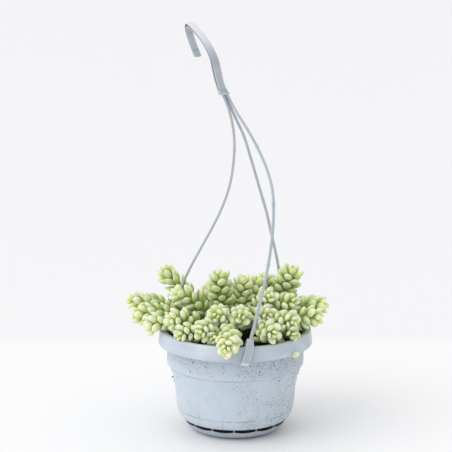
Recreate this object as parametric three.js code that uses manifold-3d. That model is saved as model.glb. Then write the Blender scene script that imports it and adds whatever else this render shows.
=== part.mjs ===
// A burro's tail plant in a 15 cm hanging pot: pot, clipped-on saucer, soil, three-strap
// hanger with its hook, and the leafy tails. Millimetres, +Z up; the origin is the centre
// of the saucer's flat underside, and the front of the plant looks along -Y.
import * as THREE from 'three';
import { mergeVertices } from 'three/addons/utils/BufferGeometryUtils.js';
import loadManifold from 'manifold-3d';

const wasm = await loadManifold();
wasm.setup();

// ---------- driving dimensions ----------

const rimRadius = 75.4; // lower, widest edge of the turned-down rim
const rimTop = 101.5; // rim above the table
const rimDepth = 13.9; // height of the turned-down skirt
const rimRoof = 3.1; // thickness of the rim's flat top
const mouthRadius = 69; // inner edge of the rim's flat top
const neckRadius = 67.1; // straight band under the rim
const wall = 1.6; // moulded wall of pot and saucer
const potBase = 12.9; // underside of the pot
const potBaseRadius = 52.4;
const roundSides = 32; // facets round the pot, saucer and soil
const seatGap = 0.35; // gap kept where one piece rests on another
const soilGap = 0.5; // gap kept between the soil and the pot's sloping wall

const saucerRadius = 50;
const saucerFootRadius = 36;
const saucerTop = 10.2;
const tabCount = 14; // upright tabs that carry the pot on the saucer

const drainCount = 5; // drain holes in the pot's floor
const drainRadius = 4;
const drainCircle = 34;

const soilEdge = 93.5; // soil level at the wall
const soilCrown = 96; // soil level in the middle
const stemFoot = 89.5; // depth that the stems reach to in the soil

const stemRadius = 2.3;
const stemHole = 4.9; // plain hole in the soil round each stem
const coreRadius = 4.6; // stem thickened by the leaf bases
const leafLength = 14;
const leafWidth = 11.6;
const leafStep = 2.7; // stem length from one leaf to the next, closer together at the tip
const goldenAngle = THREE.MathUtils.degToRad(137.5);

const strapWidth = 3;
const strapThickness = 2.4;
const clipWidth = 7.5;
const clipTop = 109.5;

const hookBandWidth = 8;
const hookBandDepth = 4.2;
const hookWeb = 1.4;
const collarRadius = 5.8;
const collarHeight = 5;

// ---------- small helpers ----------

const degrees = THREE.MathUtils.degToRad;

function repeatable(seed) {
  let state = seed;
  return () => {
    state = (state * 16807) % 2147483647;
    return state / 2147483647;
  };
}

// Point at a radius, a turn from the front (-Y) towards +X, and a height.
function around(radius, turn, z) {
  return new THREE.Vector3(radius * Math.sin(turn), -radius * Math.cos(turn), z);
}

// Unit direction with a turn from the front towards +X and a rise above level.
function facing(turn, rise) {
  return around(Math.cos(degrees(rise)), degrees(turn), Math.sin(degrees(rise)));
}

// A lathe turned about Z; its profile runs counter-clockwise, from the axis or round a ring.
function turned(profile) {
  const points = profile.map(([r, z]) => new THREE.Vector2(r, z));
  return new THREE.LatheGeometry(points, roundSides).rotateX(Math.PI / 2);
}

// A closed geometry as a solid: shared corners merged, collapsed triangles dropped.
function solid(geometry) {
  const bare = geometry.clone();
  bare.deleteAttribute('normal');
  bare.deleteAttribute('uv');
  const merged = mergeVertices(bare, 1e-4);
  const corners = merged.index.array;
  const kept = [];
  for (let i = 0; i < corners.length; i += 3) {
    const [a, b, c] = [corners[i], corners[i + 1], corners[i + 2]];
    if (a !== b && b !== c && c !== a) kept.push(a, b, c);
  }
  const vertProperties = new Float32Array(merged.attributes.position.array);
  return new wasm.Manifold(new wasm.Mesh({ numProp: 3, vertProperties, triVerts: new Uint32Array(kept) }));
}

// A solid's largest body as a geometry; scraps and sealed hollows are left out.
function geometryOf(body) {
  const pieces = body.simplify(0.02).decompose();
  const largest = pieces.reduce((best, piece) => (piece.volume() > best.volume() ? piece : best));
  const mesh = largest.getMesh();
  const geometry = new THREE.BufferGeometry();
  geometry.setAttribute('position', new THREE.BufferAttribute(mesh.vertProperties, 3));
  geometry.setIndex(new THREE.BufferAttribute(mesh.triVerts, 1));
  geometry.computeVertexNormals();
  return geometry;
}

function joined(geometries) {
  return geometryOf(geometries.map(solid).reduce((sum, next) => sum.add(next)));
}

function cut(geometry, cutters) {
  return geometryOf(cutters.map(solid).reduce((rest, next) => rest.subtract(next), solid(geometry)));
}

const plant = new THREE.Group();

function addPiece(name, geometry, color, roughness) {
  const material = new THREE.MeshStandardMaterial({ color, roughness, metalness: 0 });
  const mesh = new THREE.Mesh(geometry, material);
  mesh.name = name;
  plant.add(mesh);
}

// ---------- pot ----------

// Outside of the body from its base up to the neck, as radius and height.
const bodyOutline = [
  [potBaseRadius, potBase],
  [55.5, 17],
  [57.3, 23],
  [58.3, 31],
  [59.4, 45],
  [62.4, 58],
  [65.4, 65.4],
  [neckRadius, 68.6],
];

const floorTop = potBase + wall;
const innerRadius = neckRadius - wall;
const innerOutline = bodyOutline
  .slice(1)
  .map(([r, z]) => [r - wall, z])
  .reverse();

// The rim turns down outside the neck, so its skirt stands clear of the wall.
function rimOutline() {
  const skirtLow = rimTop - rimDepth;
  const roofRadius = rimRadius - 1.4;
  const edge = 1; // rounding between the skirt and the flat top
  return [
    [neckRadius, rimTop - rimRoof],
    [roofRadius - wall - edge, rimTop - rimRoof],
    [rimRadius - wall, skirtLow],
    [rimRadius, skirtLow],
    [roofRadius, rimTop - edge],
    [roofRadius - edge, rimTop],
    [mouthRadius, rimTop],
    [innerRadius, rimTop - rimRoof - wall],
  ];
}

function potShell() {
  return turned([
    [0, potBase],
    ...bodyOutline,
    ...rimOutline(),
    ...innerOutline,
    [potBaseRadius - wall, floorTop],
    [0, floorTop],
  ]);
}

function drainHoles() {
  return Array.from({ length: drainCount }, (_, i) => {
    const centre = around(drainCircle, (i / drainCount) * Math.PI * 2, potBase);
    return new THREE.CylinderGeometry(drainRadius, drainRadius, wall * 4, 6)
      .rotateX(Math.PI / 2)
      .translate(centre.x, centre.y, centre.z);
  });
}

addPiece('pot', cut(potShell(), drainHoles()), 0xb4c4cd, 0.42);

// ---------- saucer ----------

function saucerDish() {
  return turned([
    [0, 0],
    [saucerFootRadius, 0],
    [44.5, 3.4],
    [saucerRadius, saucerTop],
    [saucerRadius - wall, saucerTop],
    [43.4, 4.9],
    [saucerFootRadius - 1, wall],
    [0, wall],
  ]);
}

// Thin upright tabs on the saucer's edge, just under the pot's base.
function saucerTabs() {
  const [tabWidth, tabDepth, tabHeight] = [1.4, 1.5, 3.2];
  const firstTurn = -1.5;
  const middle = potBase - seatGap - tabHeight / 2;
  return Array.from({ length: tabCount }, (_, i) => {
    const turn = degrees(firstTurn + (360 * i) / tabCount);
    const centre = around(saucerRadius - 1.5, turn, middle);
    return new THREE.BoxGeometry(tabWidth, tabDepth, tabHeight)
      .rotateZ(turn)
      .translate(centre.x, centre.y, centre.z);
  });
}

addPiece('saucer', joined([saucerDish(), ...saucerTabs()]), 0xb2c2cb, 0.45);

// ---------- hanger: hook, straps and clips ----------

// The hook's own axes: it leans to the left in a plane square to hookFace, and its band is
// moulded aslant, so that its width lies along hookSide, almost level.
const hookFace = facing(112.5, 27);
const hookSide = facing(110, 6);
const hookUp = new THREE.Vector3(0, 0, 1).addScaledVector(hookFace, -hookFace.z).normalize();
const hookAcross = new THREE.Vector3().crossVectors(hookFace, hookUp);
const hookFoot = new THREE.Vector3(-12.3, 1.3, 333); // middle of the collar
const hookFrame = new THREE.Matrix4().makeBasis(hookAcross, hookSide, hookUp).setPosition(hookFoot);

// Middle line of the hook in its own plane: shank, arch and the arm that comes down.
const hookLine = [
  [0, -2], [4.5, 12], [14, 27], [22, 41], [21.5, 55],
  [12.5, 67], [-1, 73], [-11, 66], [-17.8, 53], [-21.5, 38],
];

// An H section: a thin web between two flanges, across the band.
function hookSection() {
  const flange = 1.3;
  const halfWidth = hookBandWidth / 2;
  const inside = halfWidth - flange;
  const halfDepth = hookBandDepth / 2;
  const halfWeb = hookWeb / 2;
  const corners = [
    [-halfWidth, -halfDepth], [-inside, -halfDepth], [-inside, -halfWeb],
    [inside, -halfWeb], [inside, -halfDepth], [halfWidth, -halfDepth],
    [halfWidth, halfDepth], [inside, halfDepth], [inside, halfWeb],
    [-inside, halfWeb], [-inside, halfDepth], [-halfWidth, halfDepth],
  ];
  return new THREE.Shape(corners.map(([x, y]) => new THREE.Vector2(x, y)));
}

function hookBand() {
  const line = new THREE.CatmullRomCurve3(hookLine.map(([x, z]) => new THREE.Vector3(x, 0, z)));
  return new THREE.ExtrudeGeometry(hookSection(), { steps: 14, extrudePath: line });
}

// Blunt block that ends the arm, and the collar at the foot that takes the straps.
function armEnd() {
  const [across, up] = hookLine[hookLine.length - 1];
  const width = hookBandWidth - 1.4;
  return new THREE.BoxGeometry(hookBandDepth, width, 6).rotateY(0.2).translate(across, -0.4, up + 1);
}

function collar() {
  return new THREE.CylinderGeometry(collarRadius - 0.8, collarRadius, collarHeight, 8)
    .rotateX(Math.PI / 2)
    .translate(0, 0.6, 0);
}

const hookParts = [hookBand(), armEnd(), collar()].map((part) => part.applyMatrix4(hookFrame));
addPiece('hanger_hook', joined(hookParts), 0xaebdc7, 0.4);

// Each strap: the turn of its rim clip, the clip's lean, its place under the collar,
// and the route from the collar down to the rim.
const straps = [
  {
    name: 'strap_front', turn: 9, lean: -12, socket: [1.8, 2.6],
    route: [
      [2, -7, 313], [13, -13, 296], [22.5, -20, 279], [30, -28, 262], [34.5, -36, 245],
      [35.5, -43, 228], [34.5, -50, 206], [30.5, -58, 178], [25, -65, 152], [18, -70, 125],
    ],
  },
  {
    name: 'strap_back_right', turn: 129, lean: 10, socket: [-1.9, 1.4],
    route: [
      [-1, 6, 309.5], [8, 12, 289], [15, 18, 266], [24, 26, 234],
      [31, 32, 209], [36.5, 37, 184], [41, 40, 164], [45, 42, 142], [51, 44, 120],
    ],
  },
  {
    name: 'strap_back_left', turn: -111, lean: -10, socket: [0.4, -1.3],
    route: [
      [-5, 2, 311], [-1.5, 4, 291], [-1.5, 6, 269], [-5.5, 10, 241], [-14, 13, 216],
      [-23, 16, 197], [-33, 19, 178], [-45, 22, 155], [-53, 24, 137], [-61.5, 25, 117],
    ],
  },
];

const clipMiddle = 71.6; // radius at which a strap runs into its clip
const clipPivot = 96; // height about which a clip leans

// A point of a leaning clip, from its radius and its height above the table.
function clipPoint(strap, radius, z) {
  return new THREE.Vector3(0, 0, z - clipPivot)
    .applyAxisAngle(new THREE.Vector3(1, 0, 0), degrees(strap.lean))
    .add(new THREE.Vector3(radius, 0, clipPivot))
    .applyAxisAngle(new THREE.Vector3(0, 0, 1), degrees(strap.turn - 90));
}

function strapCurve(strap) {
  const [across, side] = strap.socket;
  const underCollar = -collarHeight / 2 - 1; // the collar's underside slopes
  const top = new THREE.Vector3(across, side, underCollar).applyMatrix4(hookFrame);
  const below = new THREE.Vector3(across, side, underCollar - 5).applyMatrix4(hookFrame);
  const foot = clipPoint(strap, clipMiddle, clipTop - strapThickness);
  const route = strap.route.map((point) => new THREE.Vector3(...point));
  return new THREE.CatmullRomCurve3([top, below, ...route, foot]);
}

function strapBand(strap) {
  const sides = 6;
  const oval = new THREE.EllipseCurve(0, 0, strapThickness / 2, strapWidth / 2);
  const outline = oval.getPoints(sides).slice(0, sides);
  return new THREE.ExtrudeGeometry(new THREE.Shape(outline), { steps: 22, extrudePath: strapCurve(strap) });
}

// The clip straddles the rim: an inner leg, a tall bridge and an outer leg that hooks under
// the skirt. Its section is drawn as radius and height and extruded along the rim.
function rimClip(strap) {
  const section = [
    [63.9, 99.2], [65.4, 98.8], [70.2, clipTop - 2], [72.8, clipTop - 2], [76.4, 98], [77, 86.2],
    [74.4, 86.2], [74.4, 84.7], [78.4, 84.7], [78.2, 98.4], [74, clipTop], [69.6, clipTop],
  ];
  const shape = new THREE.Shape(section.map(([r, z]) => new THREE.Vector2(r, z)));
  const clip = new THREE.ExtrudeGeometry(shape, { depth: clipWidth, bevelEnabled: false, steps: 1 });
  return clip
    .translate(0, -clipPivot, -clipWidth / 2)
    .rotateX(Math.PI / 2)
    .rotateX(degrees(strap.lean))
    .rotateZ(degrees(strap.turn - 90))
    .translate(0, 0, clipPivot);
}

for (const strap of straps) {
  addPiece(strap.name, joined([strapBand(strap), rimClip(strap)]), 0xb9c7cf, 0.38);
}

// ---------- tails ----------

// One row for each tail: where it stands in the soil, where its tip is, which way the tip
// looks (turn from the front towards +X, and rise) and how much of its stem is leafy.
const tailRows = [
  { foot: [-38, 14], tip: [-103, 28, 121], look: [-98, 12], leafy: 44 },
  { foot: [-46, 4], tip: [-98, 4, 112], look: [-86, -8], leafy: 38 },
  { foot: [-49, -12], tip: [-84, -18, 108], look: [-76, -10], leafy: 26 },
  { foot: [-30, 36], tip: [-70, 44, 147], look: [-122, 50], leafy: 40 },
  { foot: [-24, 6], tip: [-61, 6, 134], look: [-72, 22], leafy: 38 },
  { foot: [-12, 6], tip: [-16, 4, 152], look: [-90, 84], leafy: 42 },
  { foot: [-10, -12], tip: [-18, -38, 123], look: [-12, 14], leafy: 24 },
  { foot: [-20, -26], tip: [-33, -53, 111], look: [-28, -2], leafy: 22 },
  { foot: [-34, -14], tip: [-62, -32, 116], look: [-56, -2], leafy: 28 },
  { foot: [-36, -32], tip: [-53, -46, 106], look: [-50, -6], leafy: 14 },
  { foot: [4, -16], tip: [5, -42, 124], look: [4, 16], leafy: 26 },
  { foot: [-6, -40], tip: [-8, -93, 106.7], look: [-4, -3], leafy: 34 },
  { foot: [24, -34], tip: [35, -62, 112], look: [20, -2], leafy: 24 },
  { foot: [34, 18], tip: [56, 24, 154], look: [60, 78], leafy: 34 },
  { foot: [32, -4], tip: [56, -14, 131], look: [50, 22], leafy: 26 },
  { foot: [46, 6], tip: [86, 5, 122], look: [84, 4], leafy: 34 },
  { foot: [46, -12], tip: [80, -22, 117], look: [68, -8], leafy: 26 },
  { foot: [34, -22], tip: [54, -43, 118], look: [36, -2], leafy: 24 },
  { foot: [18, -4], tip: [32, -13, 136], look: [18, 36], leafy: 28 },
  { foot: [16, -20], tip: [31, -33, 121], look: [10, 4], leafy: 14 },
  { foot: [18, 28], tip: [31, 36, 143], look: [40, 76], leafy: 28 },
  { foot: [4, 10], tip: [8, 10, 147], look: [0, 80], leafy: 36 },
  { foot: [14, 14], tip: [22, 22, 144], look: [120, 82], leafy: 16 },
  { foot: [46, -34], tip: [53, -48, 106], look: [40, -4], leafy: 12 },
  { foot: [-12, -46], tip: [-20, -55, 105], look: [-20, 0], leafy: 12 },
  { foot: [-38, 34], tip: [-60, 64, 112], look: [-138, -2], leafy: 30 },
  { foot: [-22, 42], tip: [-34, 84, 109], look: [-160, -12], leafy: 30 },
  { foot: [-2, 40], tip: [-5, 74, 118], look: [-176, 8], leafy: 28 },
  { foot: [18, 46], tip: [24, 88, 107], look: [168, -14], leafy: 30 },
  { foot: [38, 38], tip: [56, 70, 113], look: [142, 0], leafy: 28 },
  { foot: [50, 22], tip: [82, 40, 114], look: [116, 0], leafy: 30 },
  { foot: [-16, 24], tip: [-28, 44, 128], look: [-150, 44], leafy: 28 },
  { foot: [4, 26], tip: [8, 50, 125], look: [178, 40], leafy: 24 },
];

const frameSteps = 60; // directions kept along each stem

// The stem rises straight out of the soil and arrives at its tip along the tip's look.
class Tail {
  constructor(row, index) {
    this.foot = new THREE.Vector3(...row.foot, stemFoot);
    const tip = new THREE.Vector3(...row.tip);
    const reach = this.foot.distanceTo(tip);
    const rise = new THREE.Vector3(0, 0, Math.max(reach * 0.5, 22));
    const arrival = facing(...row.look).multiplyScalar(reach * 0.38);
    const handles = [this.foot.clone().add(rise), tip.clone().sub(arrival)];
    this.spine = new THREE.CubicBezierCurve3(this.foot, ...handles, tip);
    this.length = this.spine.getLength();
    this.leafy = row.leafy;
    this.frames = this.spine.computeFrenetFrames(frameSteps, false);
    this.draw = repeatable(1000 + 77 * index);
    this.leaves = [];
  }

  at(s) {
    const u = THREE.MathUtils.clamp(s / this.length, 0, 1);
    const i = Math.round(u * frameSteps);
    return {
      point: this.spine.getPointAt(u),
      along: this.frames.tangents[i],
      normal: this.frames.normals[i],
      binormal: this.frames.binormals[i],
    };
  }

  radiusAt(s) {
    const bare = this.length - this.leafy;
    const thickened = THREE.MathUtils.smoothstep(s, bare - 2, bare + 5);
    const tipTaper = 1 - 0.5 * THREE.MathUtils.smoothstep(s, this.length - 8, this.length);
    return THREE.MathUtils.lerp(stemRadius, coreRadius, thickened) * tipTaper;
  }
}

const tails = tailRows.map((row, index) => new Tail(row, index));

// ---------- keeping the leaves clear of everything else ----------

// Round stand-ins for what is already in place: { centre, radius, owner }.
const taken = [];
const leafMargin = 0.5; // gap kept round every leaf

function takeAlong(curve, radiusAt, owner) {
  const spacing = 3;
  const length = curve.getLength();
  const count = Math.ceil(length / spacing);
  for (let i = 0; i <= count; i += 1) {
    const share = i / count;
    taken.push({ centre: curve.getPointAt(share), radius: radiusAt(share * length), owner });
  }
}

for (const tail of tails) takeAlong(tail.spine, (s) => tail.radiusAt(s), tail);
for (const strap of straps) {
  takeAlong(strapCurve(strap), () => strapWidth / 2, strap);
  for (let z = rimTop - 2; z < clipTop; z += 4) {
    taken.push({ centre: clipPoint(strap, clipMiddle, z), radius: 5, owner: strap });
  }
}

// Distance from a point above the soil to its surface, which sinks from crown to wall.
function distanceToSoil({ x, y, z }) {
  const share = Math.hypot(x, y) / innerRadius;
  return share > 1 ? Infinity : z - THREE.MathUtils.lerp(soilCrown, soilEdge, share);
}

// Distance from a point to the rim's ring of material, seen in section.
function distanceToRim({ x, y, z }) {
  const radius = Math.hypot(x, y);
  const aside = Math.max(innerRadius - 0.7 - radius, radius - rimRadius - 0.6, 0);
  const above = Math.max(rimTop - rimDepth - z, z - rimTop - 0.6, 0);
  return Math.hypot(aside, above);
}

function isClear(centre, radius, owner) {
  const reach = radius + leafMargin;
  if (distanceToSoil(centre) < reach || distanceToRim(centre) < reach) return false;
  return taken.every((item) => item.owner === owner || item.centre.distanceTo(centre) > item.radius + reach);
}

// ---------- leaves ----------

// A leaf is a plump spindle, widest past its middle. Round stand-ins fill it, each given as
// a share of its length and of its half width.
const leafBelly = 0.64;
const leafBeads = [[0.42, 0.6], [leafBelly, 0.86], [0.84, 0.5]];

function leafGeometry(length, width) {
  const profile = [[0, 0], [width / 2, length * leafBelly], [0, length]];
  const points = profile.map(([r, y]) => new THREE.Vector2(r, y));
  return new THREE.LatheGeometry(points, 4);
}

// Distance below the tip at which a leaf grows, counted from the tip's own leaf.
function leafDepth(order) {
  return 4 + leafStep * order - 4.8 * (1 - Math.exp(-order / 3));
}

function leafPlace(tail, order) {
  const settle = Math.min(order / 5, 1);
  const { point, along, normal, binormal } = tail.at(tail.length - leafDepth(order));
  const turn = order * goldenAngle + tail.draw() * 0.25;
  const lean = degrees(5 + 70 * Math.pow(settle, 0.65) + 5 * (tail.draw() - 0.5));
  const outward = normal.clone().multiplyScalar(Math.cos(turn)).addScaledVector(binormal, Math.sin(turn));
  const direction = along.clone().multiplyScalar(Math.cos(lean)).addScaledVector(outward, Math.sin(lean));
  const size = (0.66 + 0.34 * settle) * (0.95 + 0.1 * tail.draw());
  return { point, direction, size };
}

function tryLeaf(tail, order) {
  const { point, direction, size } = leafPlace(tail, order);
  for (const shrink of [1, 0.85, 0.7]) {
    const length = leafLength * size * shrink;
    const width = leafWidth * size * shrink;
    const beads = leafBeads.map(([share, fill]) => ({
      centre: point.clone().addScaledVector(direction, length * share),
      radius: (width / 2) * fill,
      owner: tail,
    }));
    if (beads.every((bead) => isClear(bead.centre, bead.radius, tail))) {
      taken.push(...beads);
      tail.leaves.push({ point, direction, length, width });
      return;
    }
  }
}

// Every tail gets its tip first, then all of them grow leaves downwards together.
const longest = Math.max(...tails.map((tail) => tail.leafy));
for (let order = 0; leafDepth(order) < longest; order += 1) {
  for (const tail of tails) {
    if (leafDepth(order) < tail.leafy) tryLeaf(tail, order);
  }
}

// ---------- solids of the tails ----------

// The stem and its thickened, leafy part: a lathe bent from its straight axis to the spine.
function stemGeometry(tail) {
  const ringStep = 9;
  const end = tail.length - 3;
  const rings = Math.round(tail.length / ringStep);
  const profile = [new THREE.Vector2(0, 0)];
  for (let i = 0; i <= rings; i += 1) {
    const s = (end * i) / rings;
    profile.push(new THREE.Vector2(tail.radiusAt(s), s));
  }
  profile.push(new THREE.Vector2(0, end));
  const geometry = new THREE.LatheGeometry(profile, 5);
  const position = geometry.attributes.position;
  for (let i = 0; i < position.count; i += 1) {
    const [x, s, z] = [position.getX(i), position.getY(i), position.getZ(i)];
    const { point, normal, binormal } = tail.at(s);
    const bent = point.addScaledVector(binormal, x).addScaledVector(normal, z);
    position.setXYZ(i, bent.x, bent.y, bent.z);
  }
  return geometry;
}

function placedLeaf({ point, direction, length, width }) {
  const up = new THREE.Vector3(0, 1, 0);
  const turn = new THREE.Quaternion().setFromUnitVectors(up, direction);
  return leafGeometry(length, width).applyQuaternion(turn).translate(point.x, point.y, point.z);
}

tails.forEach((tail, index) => {
  const geometry = joined([stemGeometry(tail), ...tail.leaves.map(placedLeaf)]);
  addPiece(`tail_${String(index + 1).padStart(2, '0')}`, geometry, 0xa9c266, 0.5);
});

// ---------- soil ----------

function soilBody() {
  const side = innerOutline.map(([r, z]) => [r - soilGap, z]).reverse();
  return turned([
    [0, floorTop + seatGap],
    [potBaseRadius - wall - soilGap - 0.2, floorTop + seatGap],
    ...side,
    [innerRadius - soilGap, soilEdge],
    [0, soilCrown],
  ]);
}

function stemHoles() {
  const height = 14;
  return tails.map(({ foot }) => new THREE.CylinderGeometry(stemHole, stemHole, height, 4)
    .rotateX(Math.PI / 2)
    .translate(foot.x, foot.y, stemFoot - seatGap + height / 2));
}

addPiece('soil', cut(soilBody(), stemHoles()), 0x3a2f26, 0.95);

export default plant;
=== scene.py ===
# Burro's tail in a hanging pot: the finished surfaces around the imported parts.
# Sizes are millimetres until makePiece turns them into metres. Z is up, the origin is the
# centre of the saucer's flat underside, and the front of the plant looks along -Y.
import math

import bpy
import numpy as np
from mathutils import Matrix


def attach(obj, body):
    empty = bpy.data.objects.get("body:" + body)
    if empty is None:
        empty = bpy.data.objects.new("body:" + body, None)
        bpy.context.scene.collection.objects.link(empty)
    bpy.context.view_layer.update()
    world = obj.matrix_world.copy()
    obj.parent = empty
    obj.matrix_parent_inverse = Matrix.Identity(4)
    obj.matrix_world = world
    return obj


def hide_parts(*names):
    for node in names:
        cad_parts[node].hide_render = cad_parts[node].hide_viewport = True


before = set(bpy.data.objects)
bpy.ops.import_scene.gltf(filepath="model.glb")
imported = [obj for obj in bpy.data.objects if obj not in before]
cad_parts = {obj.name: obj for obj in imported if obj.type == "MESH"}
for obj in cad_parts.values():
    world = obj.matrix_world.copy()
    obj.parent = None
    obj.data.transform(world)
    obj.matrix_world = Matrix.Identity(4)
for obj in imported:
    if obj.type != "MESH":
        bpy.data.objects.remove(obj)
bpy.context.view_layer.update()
print("frame loaded with", len(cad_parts), "nodes")

metresPerMillimetre = 0.001
chance = np.random.default_rng(20)


def unit(vectors):
    # v / |v|, along the last axis
    return vectors / np.maximum(np.linalg.norm(vectors, axis=-1, keepdims=True), 1e-9)


def smoothStep(low, high, x):
    # 3t² - 2t³, where t runs from 0 at low to 1 at high
    t = np.clip((x - low) / (high - low), 0, 1)
    return t * t * (3 - 2 * t)


def around(radius, turn, z):
    # (r sin t, -r cos t, z): t in degrees, counted from the front towards +X
    t = np.radians(turn)
    return np.stack(np.broadcast_arrays(radius * np.sin(t), -radius * np.cos(t), z), axis=-1)


def facing(turn, rise):
    # unit direction that looks along a turn, raised above level by a rise
    return around(np.cos(np.radians(rise)), turn, np.sin(np.radians(rise)))


def bumps(points, cell, seed=0.0):
    # smooth random field from -1 to 1: a random value at each lattice corner, blended between
    scaled = np.asarray(points) / cell
    corner = np.floor(scaled)
    part = smoothStep(0, 1, scaled - corner)
    total = np.zeros(scaled.shape[:-1])
    for offset in np.ndindex(2, 2, 2):
        value = np.sin((corner + offset) @ (12.9898, 78.233, 37.719) + seed) * 43758.5453 % 1
        total += value * np.prod(np.where(offset, part, 1 - part), axis=-1)
    return 2 * total - 1


def gapsAlong(points):
    # distance from each point of a line to the next
    return np.linalg.norm(np.diff(points, axis=0), axis=1)


def smoothPath(points, count):
    # centripetal Catmull-Rom through the points: knots spaced by the square root of each gap,
    # each span blended as in Barry and Goldman's pyramid, then resampled to equal steps
    points = np.asarray(points, float)
    padded = np.vstack([2 * points[0] - points[1], points, 2 * points[-1] - points[-2]])
    knots = np.concatenate([[0], np.cumsum(gapsAlong(padded) ** 0.5)])
    fine = np.linspace(knots[1], knots[-2], 40 * len(points))
    span = np.clip(np.searchsorted(knots, fine, side="right") - 1, 1, len(points) - 1)
    t = fine[:, None]

    def blend(a, b, low, high):
        # from a to b while t runs from the knot numbered low to the one numbered high
        start, end = knots[low][:, None], knots[high][:, None]
        return (a * (end - t) + b * (t - start)) / (end - start)

    a1, a2, a3 = (blend(padded[span + i - 1], padded[span + i], span + i - 1, span + i) for i in range(3))
    b1 = blend(a1, a2, span - 1, span + 1)
    b2 = blend(a2, a3, span, span + 2)
    curve = blend(b1, b2, span, span + 1)
    return evenly(curve, count)


def evenly(curve, count):
    # the same line with points at equal distances along it
    along = np.concatenate([[0], np.cumsum(gapsAlong(curve))])
    places = np.linspace(0, along[-1], count)
    return np.stack([np.interp(places, along, curve[:, axis]) for axis in range(curve.shape[1])], axis=1)


def roundedOutline(corners, stepLimit=4.0, arcSteps=5):
    # corners are (r, z, cut): a corner P becomes the curve (1-s)²A + 2s(1-s)P + s²B, where A and B
    # lie a cut before and after it, and stretches longer than stepLimit are split
    corners = np.asarray(corners, float)
    points = [corners[0, :2]]
    s = np.linspace(0, 1, arcSteps)[:, None]
    for before, corner, after in zip(corners[:-2], corners[1:-1], corners[2:]):
        here = corner[:2]
        start = here + unit(before[:2] - here) * corner[2]
        end = here + unit(after[:2] - here) * corner[2]
        curve = (1 - s) ** 2 * start + 2 * s * (1 - s) * here + s ** 2 * end
        points.extend(curve if corner[2] else [here])
    points.append(corners[-1, :2])
    outline = [points[0]]
    for last, point in zip(points[:-1], points[1:]):
        pieces = max(1, math.ceil(np.linalg.norm(point - last) / stepLimit))
        outline.extend(last + (point - last) * (i + 1) / pieces for i in range(pieces))
    return np.array(outline)


def loft(rings, startPole=None, endPole=None):
    # rows of points joined by quads, each row closing on itself; a fan closes an end at its pole
    rows, columns = rings.shape[:2]
    row, column = np.meshgrid(np.arange(rows - 1), np.arange(columns), indexing="ij")
    nextColumn = (column + 1) % columns
    quads = np.stack([row * columns + column, row * columns + nextColumn,
                      (row + 1) * columns + nextColumn, (row + 1) * columns + column], axis=-1)
    points = [rings.reshape(-1, 3)]
    fans = []
    here = np.arange(columns)
    after = (here + 1) % columns
    if startPole is not None:
        pole = np.full(columns, rows * columns)
        points.append(np.reshape(startPole, (1, 3)))
        fans.append(np.stack([pole, after, here], axis=1))
    if endPole is not None:
        pole = np.full(columns, sum(len(p) for p in points))
        last = (rows - 1) * columns
        points.append(np.reshape(endPole, (1, 3)))
        fans.append(np.stack([last + here, last + after, pole], axis=1))
    triangles = np.vstack(fans) if fans else np.zeros((0, 3), int)
    return np.vstack(points), quads.reshape(-1, 4), triangles


def lathe(outline, columns, waver=None):
    # the outline's (r, z) carried round Z: (r sin t, -r cos t, z), with poles where it starts
    # and ends on the axis; waver(turn, rings) may move the rings before they are joined
    turns = np.linspace(0, 360, columns, endpoint=False)
    rings = around(outline[1:-1, 0, None], turns, outline[1:-1, 1, None])
    if waver:
        rings = waver(turns, rings)
    return loft(rings, around(0.0, 0.0, outline[0, 1]), around(0.0, 0.0, outline[-1, 1]))


def sweep(path, section, side, scale):
    # section (x, y) carried along a path: point = path + x·N + y·B, where N is the side vector
    # squared to the path and B lies across both; scale holds one or two factors for each ring
    along = unit(np.gradient(path, axis=0))
    across = unit(np.cross(along, side))
    normal = np.cross(across, along)
    sized = section * scale[:, None]
    rings = path[:, None] + normal[:, None] * sized[..., :1] + across[:, None] * sized[..., 1:]
    return loft(rings, path[0], path[-1])


def roundedBar(width, depth, sides, power=4.0):
    # superellipse |2x/width|^p + |2y/depth|^p = 1, as a ring of points
    t = np.linspace(0, 2 * np.pi, sides, endpoint=False) + np.pi / sides
    c, s = np.cos(t), np.sin(t)
    x = np.sign(c) * np.abs(c) ** (2 / power) * width / 2
    y = np.sign(s) * np.abs(s) ** (2 / power) * depth / 2
    return np.stack([x, y], axis=1)


def joinShells(shells):
    # several shells (points, quads, triangles) as one, with the numbers of the corners moved on
    points, quads, triangles, start = [], [], [], 0
    for shell in shells:
        points.append(shell[0])
        quads.append(shell[1] + start)
        triangles.append(shell[2] + start)
        start += len(shell[0])
    return np.vstack(points), np.vstack(quads), np.vstack(triangles)


def addObject(name, data):
    # a new object in the scene that carries the data
    made = bpy.data.objects.new(name, data)
    bpy.context.scene.collection.objects.link(made)
    return made


def makePiece(name, shell, finish, replaced=(), attributes=None):
    # puts a shell into a mesh in one go, in metres, and ties the piece to the frame
    points, quads, triangles = shell
    mesh = bpy.data.meshes.new(name)
    mesh.vertices.add(len(points))
    mesh.vertices.foreach_set("co", (points * metresPerMillimetre).astype(np.float32).ravel())
    corners = np.concatenate([quads.ravel(), triangles.ravel()]).astype(np.int32)
    mesh.loops.add(len(corners))
    mesh.loops.foreach_set("vertex_index", corners)
    starts = np.concatenate([4 * np.arange(len(quads)), 4 * len(quads) + 3 * np.arange(len(triangles))])
    mesh.polygons.add(len(starts))
    mesh.polygons.foreach_set("loop_start", starts.astype(np.int32))
    mesh.update(calc_edges=True)
    mesh.validate()
    mesh.shade_smooth()
    for key, values in (attributes or {}).items():
        mesh.attributes.new(key, "FLOAT", "POINT").data.foreach_set("value", values.astype(np.float32))
    mesh.materials.append(finish)
    piece = addObject(name, mesh)
    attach(piece, "root")
    if replaced:
        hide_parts(*replaced)
    return piece


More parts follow.
